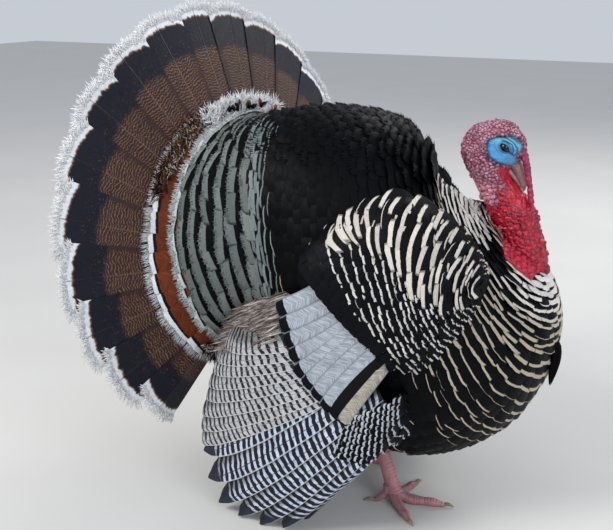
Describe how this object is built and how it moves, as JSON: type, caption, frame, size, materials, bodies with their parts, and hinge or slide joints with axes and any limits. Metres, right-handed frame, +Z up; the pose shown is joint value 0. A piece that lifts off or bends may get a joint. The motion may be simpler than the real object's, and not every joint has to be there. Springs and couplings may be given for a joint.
{
  "type": "strutting tom turkey",
  "caption": "Life-size still model of a strutting male turkey: fanned tail, drooped wings, bare head with snood and wattle, standing in mid stride.",
  "frame": {"origin": "middle of the bounding box at floor level, where the bird stands", "axes": "+Z up, +X towards the bird's breast, +Y its left"},
  "size_m": [0.6838, 0.7398, 0.8032],
  "materials": {
    "body_feather": "black contour feathers with pale tips",
    "flight_feather": "barred black and white vanes",
    "tail_feather": "dark brown vanes, black band and white tip",
    "bare_skin": "bare red and blue skin with caruncles",
    "horn": "satin horn",
    "leg_skin": "pinkish scaled skin",
    "eye": "wet, glossy",
    "beard_hair": "coarse black bristles"
  },
  "bodies": {
    "root": {"trunk": "body_feather", "tail_coverts": "body_feather", "undertail_coverts": "body_feather", "wing_R_shoulder": "body_feather", "wing_L_shoulder": "body_feather", "thigh_R": "body_feather", "thigh_L": "body_feather", "wing_R_secondaries": "flight_feather", "wing_R_primaries": "flight_feather", "wing_L_secondaries": "flight_feather", "wing_L_primaries": "flight_feather", "tail_fan": "tail_feather", "neck": "bare_skin", "head": "bare_skin", "snood": "bare_skin", "bill_upper": "horn", "bill_lower": "horn", "claw_inner_R": "horn", "claw_middle_R": "horn", "claw_outer_R": "horn", "claw_hind_R": "horn", "claw_inner_L": "horn", "claw_middle_L": "horn", "claw_outer_L": "horn", "claw_hind_L": "horn", "spur_R": "horn", "spur_L": "horn", "leg_R": "leg_skin", "leg_L": "leg_skin", "eye_R": "eye", "eye_L": "eye", "beard": "beard_hair"}
  },
  "joints": []
}
